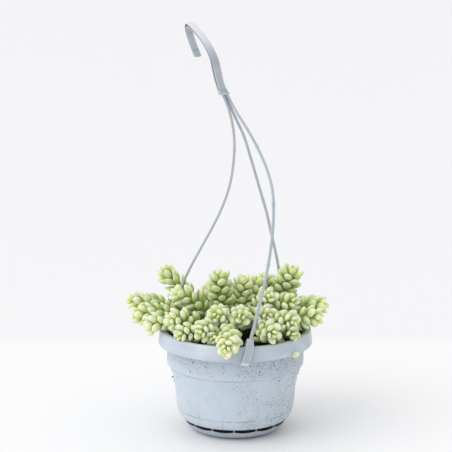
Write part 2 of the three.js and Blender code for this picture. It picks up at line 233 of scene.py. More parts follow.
class Shade:
    # wraps one socket, so that maths on it is written as an expression and adds its Math nodes
    def __init__(self, finish, socket):
        self.finish = finish
        self.socket = socket

    def maths(self, operation, *inputs):
        node = self.finish.node("ShaderNodeMath", {"operation": operation}, dict(enumerate(inputs)))
        return Shade(self.finish, node.outputs[0])

    def __add__(self, other):
        return self.maths("ADD", self, other)

    def __radd__(self, other):
        return self.maths("ADD", other, self)

    def __sub__(self, other):
        return self.maths("SUBTRACT", self, other)

    def __rsub__(self, other):
        return self.maths("SUBTRACT", other, self)

    def __mul__(self, other):
        return self.maths("MULTIPLY", self, other)

    def __rmul__(self, other):
        return self.maths("MULTIPLY", other, self)

    def root(self):
        return self.maths("SQRT", self)

    def size(self):
        return self.maths("ABSOLUTE", self)

    def least(self, other):
        return self.maths("MINIMUM", self, other)

    def most(self, other):
        return self.maths("MAXIMUM", self, other)

    def rise(self, low, high):
        # 0 below low, 1 above high and smooth between; low may be above high to fall instead
        node = self.finish.node("ShaderNodeMapRange", {"interpolation_type": "SMOOTHSTEP"},
                                {"Value": self, "From Min": low, "From Max": high})
        return Shade(self.finish, node.outputs["Result"])

    def ridge(self, centre, width):
        # 1 at the centre, falling to 0 a width away on both sides
        return (self - centre).size().rise(width, 0)


class Finish:
    # one material, made from nodes
    def __init__(self, name, **constants):
        self.material = bpy.data.materials.new(name)
        self.material.use_nodes = True
        self.tree = self.material.node_tree
        self.tree.nodes.clear()
        self.shader = self.node("ShaderNodeBsdfPrincipled", inputs=constants)
        output = self.node("ShaderNodeOutputMaterial")
        self.tree.links.new(self.shader.outputs[0], output.inputs["Surface"])
        self.place = self.read("ShaderNodeTexCoord", "Object")

    def node(self, kind, settings=None, inputs=None):
        made = self.tree.nodes.new(kind)
        for key, value in (settings or {}).items():
            setattr(made, key, value)
        for key, value in (inputs or {}).items():
            if isinstance(value, Shade):
                self.tree.links.new(value.socket, made.inputs[key])
            else:
                made.inputs[key].default_value = value
        return made

    def read(self, kind, output, settings=None, inputs=None):
        return Shade(self, self.node(kind, settings, inputs).outputs[output])

    def attribute(self, name):
        return self.read("ShaderNodeAttribute", "Fac", {"attribute_name": name})

    def axes(self):
        # x, y and z of each point, in metres
        split = self.node("ShaderNodeSeparateXYZ", inputs={0: self.place})
        return [Shade(self, output) for output in split.outputs]

    def stretched(self, scale):
        return self.read("ShaderNodeVectorMath", 0, {"operation": "MULTIPLY"}, {0: self.place, 1: scale})

    def noise(self, scale, detail=3.0, roughness=0.55, place=None):
        return self.read("ShaderNodeTexNoise", "Fac", None, {
            "Vector": place or self.place, "Scale": scale, "Detail": detail, "Roughness": roughness})

    def spots(self, scale, share, radius):
        # round spots in a share of the cells of a Voronoi pattern, each spot of its own size
        cells = self.node("ShaderNodeTexVoronoi", None, {"Vector": self.place, "Scale": scale})
        draws = self.node("ShaderNodeSeparateColor", inputs={0: Shade(self, cells.outputs["Color"])})
        chosen = (Shade(self, draws.outputs[0]) - (1 - share)).rise(0, 0.01)
        reach = Shade(self, draws.outputs[1]) * radius + radius * 0.4
        return (Shade(self, cells.outputs["Distance"]) - reach).rise(0.05, -0.05) * chosen

    def mix(self, factor, first, second):
        return self.read("ShaderNodeMix", 2, {"data_type": "RGBA"}, {0: factor, 6: first, 7: second})

    def bump(self, height, strength, distance):
        return self.read("ShaderNodeBump", 0, None, {
            "Height": height, "Strength": strength, "Distance": distance})

    def finished(self, **links):
        # links the patterns to the shader's sockets, with _ for a space, and hands out the material
        for key, value in links.items():
            self.tree.links.new(value.socket, self.shader.inputs[key.replace("_", " ")])
        return self.material


def colour(red, green, blue):
    # linear light, opaque
    return (red, green, blue, 1.0)


# each plastic: its gloss, its share of specks and of dust, its colour and the colour where it is worn
plastics = {
    "pot": {"name": "pot_plastic", "roughness": 0.34, "specks": 1.0, "dust": 0.4,
            "base": colour(0.555, 0.635, 0.72), "worn": colour(0.62, 0.70, 0.77)},
    "saucer": {"name": "saucer_plastic", "roughness": 0.3, "specks": 0.3, "dust": 0.4,
               "base": colour(0.425, 0.48, 0.54), "worn": colour(0.495, 0.55, 0.605)},
    "hanger": {"name": "hanger_plastic", "roughness": 0.24, "specks": 0.0, "dust": 0.2,
               "base": colour(0.43, 0.485, 0.535), "worn": colour(0.50, 0.55, 0.59)},
}

# what lies on the plastic, with the painted shade and painted highlight laid on it, and the heights where
# they do, in metres: the rim's lower edge, the neck and, for each crease, its height, its reach up and down
# and how dark its painted shade is
dirt = {
    "dust": colour(0.40, 0.44, 0.46), "grit": colour(0.11, 0.13, 0.155), "crumb": colour(0.035, 0.042, 0.052),
    "rimHighlight": colour(0.78, 0.83, 0.87), "scuff": colour(0.32, 0.37, 0.38), "rimAndNeckShade": colour(0.36, 0.43, 0.50),
    "creaseShade": colour(0.12, 0.14, 0.15), "seam": colour(0.16, 0.19, 0.21),
    "rimEdge": (0.0865, 0.0885), "neck": 0.079, "neckReach": 0.022,
    "shadedCreases": ((0.0228, 0.0007, 0.6), (0.0654, 0.0008, 0.55), (0.0868, 0.0010, 0.3)),
}


def plasticFinish(name, base, worn, roughness, specks, dust):
    # moulded plastic: slight clouding, a thin film of dust and dark specks of soil, which lie
    # thickest on the right and around the neck and stay off the rim
    finish = Finish(name, **{"IOR": 1.49, "Subsurface Weight": 0.08, "Subsurface Scale": 0.002})
    x, _, z = finish.axes()
    clouds = finish.noise(38.0, 4.0)
    fine = finish.noise(420.0, 3.0)
    skin = finish.mix((clouds * 0.8 + fine * 0.3).rise(0.35, 0.8), base, worn)
    film = (clouds.rise(0.48, 0.75) * 0.7 + fine.rise(0.5, 0.75) * 0.3) * dust
    skin = finish.mix(film.least(1.0), skin, dirt["dust"])
    splash = finish.noise(30.0, 3.0, 0.6)
    neck = z.ridge(dirt["neck"], dirt["neckReach"])
    covered = z.rise(*dirt["rimEdge"][::-1]) * specks
    dirty = (splash * 1.2 + x * 4.8 + neck * 0.42).rise(0.48, 1.1)
    grit = (finish.noise(1050.0, 2.0, 0.5) + dirty * 0.11).rise(0.665, 0.72) * covered
    small = (finish.spots(430.0, 0.62, 0.26) * dirty).rise(0.2, 0.5)
    large = finish.spots(190.0, 0.17, 0.12) * (dirty * 0.8 + 0.1)
    crumbs = (small + large) * fine.rise(0.38, 0.55) * covered
    skin = finish.mix(grit * 0.66, skin, dirt["grit"])
    skin = finish.mix(crumbs.least(1.0) * 0.85, skin, dirt["crumb"])
    rough = fine * 0.12 + roughness + film * 0.2
    relief = finish.bump(fine + crumbs * 1.5, 0.25, 0.0003)
    return finish, skin, rough, relief


def potFinish():
    # the pot's plastic with painted shade on the rim, the neck, the creases and the underside, a painted
    # highlight on the rim, and scuffs low on the wall
    finish, skin, rough, relief = plasticFinish(**plastics["pot"])
    x, y, z = finish.axes()
    radius = (x * x + y * y).root()
    # painted shade: the rim is darkened, most of all in front, and so is the neck below the rim
    rim = z.rise(*dirt["rimEdge"])
    rimAndNeckShade = rim * x.ridge(0.006, 0.03) * 0.34 + rim * 0.28 + z.ridge(0.077, 0.012) * 0.2
    skin = finish.mix(rimAndNeckShade, skin, dirt["rimAndNeckShade"])
    # painted highlight: pale mottled patches on the rim, most at its left and right ends
    rimHighlight = finish.noise(1.0, 1.5, 0.5, finish.stretched((26.0, 26.0, 60.0))).rise(0.42, 0.72)
    patches = x.ridge(-0.036, 0.026) * 0.5 + x.rise(0.02, 0.06) * 0.4 + 0.15
    skin = finish.mix(rim * rimHighlight * patches, skin, dirt["rimHighlight"])
    # scuffed, soil-washed patches low on the body
    scuff = finish.noise(48.0, 5.0, 0.75).rise(0.50, 0.64) * finish.noise(300.0, 4.0, 0.7).rise(0.44, 0.58)
    skin = finish.mix(scuff * z.rise(0.075, 0.05) * 0.5, skin, dirt["scuff"])
    # painted shade: darker lines along the groove and along the creases under the neck and the rim
    line = sum(z.ridge(height, reach) * depth for height, reach, depth in dirt["shadedCreases"])
    skin = finish.mix((line * finish.noise(60.0).rise(0.3, 0.6)).least(1.0), skin, dirt["creaseShade"])
    # the mould's parting line runs up the front of the foot
    seam = x.ridge(-0.0124, 0.00045) * y.rise(0.0, -0.02) * z.rise(0.026, 0.022)
    skin = finish.mix(seam * 0.6, skin, dirt["seam"])
    # painted shade: the underside is painted near black, as the shade between the pot and the saucer
    shadedUnderside = z.rise(0.0134, 0.0129) * radius.rise(0.0528, 0.0512)
    skin = finish.mix(shadedUnderside * 0.96, skin, colour(0.012, 0.012, 0.012))
    return finish.finished(Base_Color=skin, Roughness=rough, Normal=relief)


def saucerFinish():
    # the saucer's plastic with its inside, which lies in the pot's shade, painted near black as that shade
    finish, skin, rough, relief = plasticFinish(**plastics["saucer"])
    x, y, z = finish.axes()
    radius = (x * x + y * y).root()
    # painted shade: the inside of the dish under the pot, near black
    shadedBowl = (radius - (z * 0.78 + 0.0396)).rise(0.0004, -0.0004) * z.rise(0.0012, 0.0016)
    skin = finish.mix(shadedBowl * 0.97, skin, colour(0.010, 0.010, 0.009))
    return finish.finished(Base_Color=skin, Roughness=rough, Normal=relief)


def hangerFinish():
    # painted highlight pales the hook over its crown and along its edges, and the clips' edges and feet, and
    # painted shade darkens its hollow sides
    finish, skin, rough, relief = plasticFinish(**plastics["hanger"])
    skin = finish.mix(finish.attribute("paintedHighlight") * 0.75, skin, colour(0.82, 0.86, 0.90))
    skin = finish.mix(finish.attribute("hookShade") * 0.85, skin, colour(0.15, 0.17, 0.19))
    return finish.finished(Base_Color=skin, Roughness=rough, Normal=relief)


leafColours = {
    "base": colour(0.36, 0.50, 0.06), "tip": colour(0.57, 0.69, 0.23), "young": colour(0.72, 0.79, 0.22),
    "shaded": colour(0.30, 0.45, 0.11), "bloom": colour(0.90, 0.94, 0.76),
}


def leafFinish():
    # green at the base, paler towards the tip, with a chalky bloom; young leaves are yellower, and painted
    # shade makes shaded leaves greener with less bloom
    finish = Finish("leaf_skin", **{
        "IOR": 1.4, "Subsurface Weight": 0.72, "Subsurface Scale": 0.0075,
        "Subsurface Radius": (1.0, 1.0, 0.4), "Sheen Weight": 0.45, "Sheen Roughness": 0.4})
    along = finish.attribute("leafAlong")
    youth = finish.attribute("leafYouth")
    shade = finish.attribute("leafShade")
    mottle = finish.noise(240.0, 3.0)
    flesh = finish.mix(along.rise(0.1, 0.6), leafColours["base"], leafColours["tip"])
    flesh = finish.mix(youth * 0.7, flesh, leafColours["young"])
    flesh = finish.mix(shade.rise(0.5, 0.0) * 0.65, flesh, leafColours["shaded"])
    bloom = along.rise(0.35, 1.0) * 0.5 + mottle.rise(0.35, 0.7) * 0.2 + shade * 0.45 - 0.12
    flesh = finish.mix(bloom.most(0.0).least(0.85), flesh, leafColours["bloom"])
    rough = mottle * 0.15 + 0.47
    relief = finish.bump(finish.noise(700.0, 2.0), 0.15, 0.0002)
    return finish.finished(Base_Color=flesh, Roughness=rough, Normal=relief)


def stemFinish():
    # brown bark above the soil that turns green higher up, streaked along the stem
    finish = Finish("stem_skin", IOR=1.4)
    z = finish.axes()[2]
    bark = finish.noise(1.0, 3.0, 0.6, finish.stretched((500.0, 500.0, 120.0)))
    skin = finish.mix(z.rise(0.098, 0.118), colour(0.16, 0.13, 0.07), colour(0.42, 0.53, 0.14))
    skin = finish.mix(bark.rise(0.4, 0.7) * 0.5, skin, colour(0.33, 0.34, 0.2))
    relief = finish.bump(bark, 0.4, 0.0005)
    return finish.finished(Base_Color=skin, Roughness=bark * 0.2 + 0.55, Normal=relief)


def soilFinish():
    # dark peat with paler fibres
    finish = Finish("soil_peat", IOR=1.4)
    grain = finish.noise(520.0, 5.0, 0.65)
    lumps = finish.noise(110.0, 4.0)
    skin = finish.mix(grain.rise(0.35, 0.7), colour(0.010, 0.008, 0.006), colour(0.050, 0.036, 0.024))
    skin = finish.mix(lumps.rise(0.6, 0.8) * 0.5, skin, colour(0.085, 0.062, 0.040))
    relief = finish.bump(grain, 0.7, 0.0012)
    return finish.finished(Base_Color=skin, Roughness=grain * 0.2 + 0.75, Normal=relief)


potSkin = potFinish()
saucerSkin = saucerFinish()
hangerSkin = hangerFinish()
leafSkin = leafFinish()
stemSkin = stemFinish()
soilSkin = soilFinish()
print("finishes made")


pot = {
    "columns": 160,
    "wall": 1.6,              # thickness
    "base": 12.9,             # underside
    "innerRadius": 65.5,      # inside of the neck
    "rimTop": 101.5, "rimEdge": 87.5, "rimRadius": 75.4,
    "warp": 0.6,              # thin moulded plastic is never quite round
    # outside from the axis up to the roof of the rim: radius, height, rounding
    "body": [
        (0, 12.9, 0), (52.2, 12.9, 1.0), (55.6, 17, 2.0), (57.15, 22.3, 0.5), (56.8, 22.8, 0.2),
        (57.45, 23.4, 0.3), (58.3, 31, 4), (59.4, 45, 6), (62.2, 57.6, 4), (65.0, 64.6, 0.8),
        (65.1, 65.3, 0.3), (67.1, 67.2, 1.0), (67.1, 98.4, 0.8),
    ],
    # the rim: roof, turned-down skirt with a rounded edge, top and inner lip
    "rim": [
        (72.2, 98.4, 1.2), (73.8, 87.9, 0.3), (74.2, 87.5, 0.3), (75.3, 87.5, 0.35), (75.4, 88.4, 0.4),
        (74.0, 101.5, 1.5), (69.2, 101.5, 0.7), (65.5, 96.9, 1.2),
    ],
    # the inside follows the body from innerStep down to the foot
    "innerStep": 68.4, "innerFoot": [(55.7, 23.0, 1.0), (53.9, 17.2, 1.5)], "floorRadius": 50.8,
    "drains": 5, "drainRadius": 4, "drainCircle": 34, "drainDepth": 8,
}


def potShell():
    # one outline from the underside over the rim and down the inside, carried round the axis
    wallInside = [(r - pot["wall"], z + 0.4, cut) for r, z, cut in pot["body"][9:5:-1]]
    floorTop = pot["base"] + pot["wall"]
    outline = [*pot["body"], *pot["rim"], (pot["innerRadius"], pot["innerStep"], 1.0), *wallInside,
               *pot["innerFoot"], (pot["floorRadius"], floorTop, 1.0), (0, floorTop, 0)]

    def warped(turns, rings):
        # r grows by warp·(0.35·sin(2t + 40) + 0.2·sin(5t)), all of it at the rim and none at mid-height
        height = smoothStep(60, 100, rings[..., 2])
        swell = 0.35 * np.sin(np.radians(2 * turns + 40)) + 0.2 * np.sin(np.radians(5 * turns))
        radial = unit(rings * (1, 1, 0))
        return rings + radial * (height * swell)[..., None] * pot["warp"]

    return lathe(roundedOutline(outline), pot["columns"], warped)


def drilled(piece, places, radius, depth):
    # cuts round holes with a Boolean, then keeps the result as the piece's own mesh
    cutters = []
    for place in places:
        bpy.ops.mesh.primitive_cylinder_add(vertices=24, radius=radius * metresPerMillimetre,
                                            depth=depth * metresPerMillimetre,
                                            location=place * metresPerMillimetre)
        cutter = bpy.context.active_object
        modifier = piece.modifiers.new("hole", "BOOLEAN")
        modifier.object = cutter
        modifier.solver = "EXACT"
        cutters.append(cutter)
    evaluated = piece.evaluated_get(bpy.context.evaluated_depsgraph_get())
    mesh = bpy.data.meshes.new_from_object(evaluated)
    piece.modifiers.clear()
    piece.data = mesh
    for cutter in cutters:
        bpy.data.objects.remove(cutter)


potPiece = makePiece("pot_body", potShell(), potSkin, ["pot"])
drainTurns = np.arange(pot["drains"]) * 360 / pot["drains"]
drainPlaces = around(pot["drainCircle"], drainTurns, pot["base"])
drilled(potPiece, drainPlaces, pot["drainRadius"], pot["drainDepth"])
print("pot made")


saucer = {
    "columns": 192,
    "tabs": 14, "firstTurn": -1.5,
    "tabWidth": 1.3, "tabDepth": 1.4, "tabHeight": 3.2, "tabTop": 12.55, "tabRadius": 48.5,
    "scallop": 1.0,           # how far the edge sinks between two tabs
    # underside, wall, rim and inside: radius, height, rounding
    "outline": [
        (0, 0, 0), (35.8, 0, 0.8), (38.4, 0.5, 0.8), (44.7, 3.4, 2), (49.2, 8.4, 1), (50, 9.9, 0.3),
        (48.4, 9.9, 0.3), (43.4, 4.8, 1.5), (36, 1.6, 1.2), (0, 1.6, 0),
    ],
}


def saucerShell():
    # the dish carried round the axis, and the tabs as upright bars in a ring, thinner at the top
    tabTurns = saucer["firstTurn"] + np.arange(saucer["tabs"]) * 360 / saucer["tabs"]

    def scalloped(turns, rings):
        # z falls between the tabs: scallop · |sin(n t / 2)|, only close under the edge
        phase = np.radians((turns - tabTurns[0]) * saucer["tabs"] / 2)
        dip = saucer["scallop"] * np.abs(np.sin(phase))
        rings[..., 2] -= dip * smoothStep(7.0, 9.8, rings[..., 2])
        return rings

    shells = [lathe(roundedOutline(saucer["outline"]), saucer["columns"], scalloped)]
    section = roundedBar(saucer["tabWidth"], saucer["tabDepth"], 12)
    z = np.linspace(saucer["tabTop"] - saucer["tabHeight"], saucer["tabTop"], 9)
    taper = 1 - 0.35 * smoothStep(z[-4], z[-1], z)
    for turn in tabTurns:
        path = around(saucer["tabRadius"], turn, z)
        shells.append(sweep(path, section, facing(turn + 90, 0), taper[:, None]))
    return joinShells(shells)


makePiece("saucer_dish", saucerShell(), saucerSkin, ["saucer"])
print("saucer made")


hook = {
    "face": facing(112.5, 27),          # square to the plane that the hook bends in
    "side": facing(118, 6),             # the band is moulded aslant: its width lies along this
    "foot": np.array([-12.3, 1.3, 333]),
    # middle line in the hook's own plane: across, up
    "line": [(0, -2), (4.5, 12), (14, 27), (22, 41), (21.5, 55), (12.5, 67), (-1, 73), (-11, 66),
             (-17.8, 53), (-21.5, 38)],
    "steps": 90,
    "width": 7.8, "depth": 4.8, "web": 1.4, "flange": 1.25,
    "blockLength": 6.0, "blockLean": 11,
    "collarRadius": 5.8, "collarHeight": 5.0,
    "collarShift": 0.6,                 # along the side direction
}
hook["up"] = unit(np.array([0, 0, 1]) - hook["face"] * hook["face"][2])
hook["across"] = np.cross(hook["face"], hook["up"])


def hookPoint(across, side, up):
    # a point given in the hook's own axes, from the middle of the collar
    return (hook["foot"] + np.multiply.outer(across, hook["across"]) + np.multiply.outer(side, hook["side"])
            + np.multiply.outer(up, hook["up"]))


def hookSection():
    # an I beam: an outer and an inner flange joined by a thin web, every corner slightly rounded
    w, web = hook["width"] / 2, hook["web"] / 2
    d, inside = hook["depth"] / 2, hook["depth"] / 2 - hook["flange"]
    quarter = [(d, w), (inside, w), (inside, web)]
    corners = quarter + [(-x, y) for x, y in quarter[::-1]]
    corners = corners + [(-x, -y) for x, y in corners]
    middle = (d, 0, 0)
    return roundedOutline([middle, *[(*corner, 0.4) for corner in corners], middle], 1.5, 3)[:-1]


def hookBand(section, s):
    # the section carried along the middle line: deeper below the bend, slimmer on the arm
    line = np.array(hook["line"], float)
    path = smoothPath(np.stack([line[:, 0], 0 * line[:, 0], line[:, 1]], axis=1), len(s))
    onArm = smoothStep(0.6, 0.8, s)
    deep = 1 + 0.3 * smoothStep(0.5, 0.25, s) - 0.14 * onArm
    wide = 0.92 + 0.12 * smoothStep(0.1, 0.0, s) - 0.1 * onArm
    inPlane = np.cross((0, 1, 0), np.gradient(path, axis=0))
    return sweep(path, section, inPlane, np.stack([deep, wide], axis=1))


def hookBlock():
    # blunt block on the end of the arm: a rounded bar whose ends draw in as (1 - u⁶)^¼
    u = np.linspace(-1, 1, 13)
    endAcross, endUp = hook["line"][-1]
    half, lean = hook["blockLength"] / 2, math.radians(hook["blockLean"])
    path = np.stack([endAcross + half * u * math.sin(lean), 0 * u - 0.3,
                     endUp + 1 + half * u * math.cos(lean)], axis=1)
    draw = (1 - np.abs(u) ** 6) ** (1 / 4) * 0.96 + 0.04
    return sweep(path, roundedBar(hook["depth"], hook["width"] * 0.9, 24), (1, 0, 0), draw[:, None])


def hookCollar():
    # a short cup that flares downwards, with a rolled lower edge
    r, h = hook["collarRadius"], hook["collarHeight"] / 2
    outline = roundedOutline([
        (0, h + 0.5, 0), (3.2, h + 0.4, 0.8), (4.6, h - 0.4, 1.0), (r - 0.5, 1.2 - h, 0.6), (r, 0.8 - h, 0.3),
        (r, -h, 0.4), (4.4, -h, 0.3), (3.8, 0.6 - h, 0.3), (0, 0.6 - h, 0)], 1.2, 4)
    points, quads, triangles = lathe(outline[::-1], 40)
    return points + (0, hook["collarShift"], 0), quads, triangles


def bandMarks(section, s):
    # how much painted shade and how much painted highlight each point of the band gets, from 0 to 1
    fromMiddle, fromWeb = np.abs(section).T
    halfDepth, halfWidth = hook["depth"] / 2, hook["width"] / 2
    flangeStart = halfDepth - hook["flange"]
    hollow = (fromMiddle < flangeStart + 0.1) & (fromWeb < halfWidth - 0.5)
    edge = (fromMiddle > flangeStart) & (fromWeb > halfWidth - 0.25)
    outerFace = section[:, 0] > halfDepth - 0.5
    innerFace = section[:, 0] < 0.5 - halfDepth
    # painted shade fills the hollow sides, and darkens the inside of the bend, the outer face below it and
    # the crease where the block begins
    bend = np.outer(0.3 * smoothStep(0.6, 0.68, s) * smoothStep(0.86, 0.78, s), innerFace)
    below = np.outer(0.26 * np.exp(-((s - 0.32) / 0.05) ** 2) + 0.2 * smoothStep(0.08, 0.03, s), outerFace)
    creaseShade = 0.5 * np.exp(-((s - 0.952) / 0.009) ** 2)[:, None]
    shadowed = np.maximum(hollow, np.maximum(bend + below, creaseShade))
    # painted highlight: over the crown's outer face and along the flange edges
    paintedHighlight = np.maximum(np.outer(smoothStep(0.35, 0.5, s), outerFace), 0.75 * edge)
    return shadowed.ravel(), paintedHighlight.ravel()


def hookShells():
    # worked out in the hook's own axes (across, side, up) and put in place at the end
    section = hookSection()
    s = np.linspace(0, 1, hook["steps"])
    cup = hookCollar()
    points, quads, triangles = joinShells([hookBand(section, s), hookBlock(), cup])
    marks = {"hookShade": np.zeros(len(points)), "paintedHighlight": np.zeros(len(points))}
    onBand = len(section) * len(s)
    marks["hookShade"][:onBand], marks["paintedHighlight"][:onBand] = bandMarks(section, s)
    # painted highlight on the collar's lower edge too
    marks["paintedHighlight"][-len(cup[0]):] = 0.8 * (cup[0][:, 2] < 0.9 - hook["collarHeight"] / 2)
    return (hookPoint(*points.T), quads, triangles), marks


hookShell, hookMarks = hookShells()
makePiece("hook", hookShell, hangerSkin, ["hanger_hook"], hookMarks)

# each strap: where its clip sits on the rim (turn) and leans, where it leaves the collar, where its
# small moulding nubs are, as shares of its length, and its route from the collar to the clip
straps = {
    "width": 2.75, "thickness": 2.4, "steps": 130,
    "lead": 6,                # how far it runs straight down out of the collar
    "rows": [
        {
            "name": "strap_front", "turn": 9, "lean": -12, "socket": (1.8, 2.6), "nubs": (0.24, 0.475, 0.705),
            "route": [(2, -7, 313), (13, -13, 296), (22.5, -20, 279), (30, -28, 262), (34.5, -36, 245),
                      (35.5, -43, 228), (34.5, -50, 206), (30.5, -58, 178), (25, -65, 152), (18, -70, 125)],
        },
        {
            "name": "strap_back_right", "turn": 129, "lean": 10, "socket": (-1.9, 1.4), "nubs": (0.487,),
            "route": [(-1, 6, 309.5), (8, 12, 289), (15, 18, 266), (24, 26, 234), (31, 32, 209),
                      (36.5, 37, 184), (41, 40, 164), (45, 42, 142), (51, 44, 120)],
        },
        {
            "name": "strap_back_left", "turn": -111, "lean": -10, "socket": (0.4, -1.3), "nubs": (0.23,),
            "route": [(-5, 2, 311), (-1.5, 4, 291), (-1.5, 6, 269), (-5.5, 10, 241), (-14, 13, 216),
                      (-23, 16, 197), (-33, 19, 178), (-45, 22, 155), (-53, 24, 137), (-61.5, 25, 117)],
        },
    ],
}

clip = {
    "middle": 71.6, "top": 109.5,       # radius and height of the place where the strap meets it
    "pivot": 96,                        # height that it leans about
    # middle line over the rim: radius, height, rounding
    "line": [(64.7, 98.6, 0), (70.2, 108.7, 1.4), (73.2, 108.7, 1.4), (77.3, 98.2, 2.5), (77.75, 85.5, 0.9),
             (74.8, 85.4, 0)],
    "thickness": 1.5, "innerWidth": 6.4, "bridgeWidth": 6.0, "legWidth": 7.5,
    "skew": -1.6, "taper": 0.7,         # how far the outer leg shifts and narrows towards its foot
}


def clipPlaced(strap, points):
    # points of a clip (radius, along the rim, height) leaned about the radial axis at the pivot's
    # height, then turned to the clip's place on the rim
    lean, turn = math.radians(strap["lean"]), math.radians(strap["turn"] - 90)
    x, y, z = points[..., 0], points[..., 1], points[..., 2] - clip["pivot"]
    y, z = y * math.cos(lean) - z * math.sin(lean), y * math.sin(lean) + z * math.cos(lean)
    x, y = x * math.cos(turn) - y * math.sin(turn), x * math.sin(turn) + y * math.cos(turn)
    return np.stack([x, y, z + clip["pivot"]], axis=-1)


def strapPath(strap):
    # a smooth line from the collar's mouth through the route's points to the top of the clip
    across, side = strap["socket"]
    under = -hook["collarHeight"] / 2
    top = hookPoint(across, side, under)
    below = hookPoint(across, side, under - straps["lead"])
    foot = clipPlaced(strap, np.array([clip["middle"], 0, clip["top"] - straps["thickness"]]))
    return smoothPath([top, below, *strap["route"], foot], straps["steps"])


def strapShell(strap):
    # a rounded bar along the strap's line, joined with its clip: wider towards the clip, and
    # swelling at each nub by a·exp(-((s-s0)/d)²)
    path = strapPath(strap)
    s = np.linspace(0, 1, len(path))
    widen = 1 + 0.1 * smoothStep(0.86, 1.0, s) - 0.06 * smoothStep(0.7, 0.2, s)
    for place in strap["nubs"]:
        widen = widen + 0.42 * np.exp(-((s - place) / 0.0055) ** 2)
    scale = np.stack([1 + (widen - 1) * 0.3, widen], axis=1)
    section = roundedBar(straps["thickness"], straps["width"], 16, 3.2)
    band = sweep(path, section, facing(strap["turn"], 0), scale)
    clipPart, paintedHighlight = clipShell(strap)
    return joinShells([band, clipPart]), {"paintedHighlight": np.concatenate([np.zeros(len(band[0])), paintedHighlight])}


def clipShell(strap):
    # a flat bar bent over the rim, whose width passes from the inner leg's to the bridge's to the
    # outer leg's, and how much painted highlight each of its points gets
    line = evenly(roundedOutline(clip["line"], 1.0), 60)
    s = np.linspace(0, 1, len(line))
    width = clip["innerWidth"] + (clip["bridgeWidth"] - clip["innerWidth"]) * smoothStep(0.15, 0.3, s)
    width = width + (clip["legWidth"] - clip["bridgeWidth"]) * smoothStep(0.36, 0.5, s)
    ends = np.minimum(1, np.minimum(smoothStep(-0.02, 0.03, s), smoothStep(1.02, 0.97, s)) * 0.5 + 0.5)
    path = np.stack([line[:, 0], clip["skew"] * smoothStep(0.6, 1.0, s), line[:, 1]], axis=1)
    width = width - clip["taper"] * smoothStep(0.6, 1.0, s)
    scale = np.stack([ends, ends * width / clip["legWidth"]], axis=1)
    section = roundedBar(clip["thickness"], clip["legWidth"], 24, 7.0)
    points, quads, triangles = sweep(path, section, np.cross(np.gradient(path, axis=0), (0, 1, 0)), scale)
    # painted highlight on the moulded edges and the lip of the foot
    edge = np.abs(section[:, 1]) > clip["legWidth"] / 2 - 0.8
    paintedHighlight = np.maximum(0.8 * edge[None], smoothStep(0.885, 0.905, s)[:, None])
    return (clipPlaced(strap, points), quads, triangles), np.append(paintedHighlight.ravel(), [0, 1])


for row in straps["rows"]:
    strapPart, strapMarks = strapShell(row)
    makePiece(row["name"] + "_band", strapPart, hangerSkin, [row["name"]], strapMarks)
print("hanger made")


soil = {
    "edge": 93.5, "crown": 95.6, "radius": 65.0, "floor": 15.0, "columns": 150,
    "floorRadius": 49.9,
    # where it meets the pot, from the foot up: radius, height, rounding
    "wallSide": [(53.2, 17.5, 1), (55.2, 23.5, 1), (56.1, 31, 2), (57.2, 45, 3), (60.2, 58, 2),
                 (63.2, 65.4, 1), (65.0, 69, 0.5)],
    "crumbs": 1100, "crumbSizes": (0.45, 1.9),
}


def soilLevel(radius):
    # sinks evenly from the crown to the wall
    return soil["crown"] + (soil["edge"] - soil["crown"]) * radius / soil["radius"]


def soilSurface(points):
    # the level with lumps of three sizes, which fade out at the wall
    radius = np.linalg.norm(points[..., :2], axis=-1)
    flat = points * (1, 1, 0)
    lumps = 0.9 * bumps(flat, 11.0) + 0.55 * bumps(flat, 4.3, 2.0) + 0.35 * bumps(flat, 1.9, 5.0)
    return soilLevel(radius) + lumps * smoothStep(soil["radius"] + 1, soil["radius"] - 6, radius)


def soilShell():
    # the body of soil carried round the axis, with the lumps laid on its top
    top = [(radius, soilLevel(radius), 0) for radius in np.linspace(soil["radius"], 1.0, 46)]
    outline = roundedOutline([(0, soil["floor"], 0), (soil["floorRadius"], soil["floor"], 0.5),
                              *soil["wallSide"], *top, (0, soil["crown"], 0)])
    points, quads, triangles = lathe(outline, soil["columns"])
    onTop = points[:, 2] > soil["edge"] - 0.01
    points[onTop, 2] = soilSurface(points[onTop])
    return points, quads, triangles


def crumbTemplate():
    # a ball of 80 triangles, as points and corner numbers
    bpy.ops.mesh.primitive_ico_sphere_add(subdivisions=2, radius=1)
    ball = bpy.context.active_object
    points = np.empty(len(ball.data.vertices) * 3)
    ball.data.vertices.foreach_get("co", points)
    corners = np.empty(len(ball.data.loops), int)
    ball.data.loops.foreach_get("vertex_index", corners)
    bpy.data.objects.remove(ball)
    return points.reshape(-1, 3), corners.reshape(-1, 3)


def scatterBalls(centres, sizes, squash):
    # copies of the ball at each centre, every corner pushed in or out by a smooth random field
    ball, triangles = crumbTemplate()
    spread = chance.uniform(0.7, 1.3, (len(centres), 1, 3)) * (1, 1, squash)
    points = ball[None] * spread
    rough = 1 + 0.35 * bumps(points * 1.3 + np.arange(len(centres))[:, None, None] * 7.3, 1.0)
    points = centres[:, None] + points * rough[..., None] * sizes[:, None, None]
    corners = triangles[None] + np.arange(len(centres))[:, None, None] * len(ball)
    return points.reshape(-1, 3), np.zeros((0, 4), int), corners.reshape(-1, 3)


def crumbShell():
    # crumbs spread evenly over the soil's top, most of them small, each sunk in a little
    radius = soil["radius"] * np.sqrt(chance.uniform(0, 0.94, soil["crumbs"]))
    centres = around(radius, chance.uniform(0, 360, soil["crumbs"]), 0.0)
    small, large = soil["crumbSizes"]
    sizes = small + (large - small) * chance.uniform(0, 1, soil["crumbs"]) ** 2.5
    centres[:, 2] = soilSurface(centres) + sizes * 0.25
    return scatterBalls(centres, sizes, 0.7)


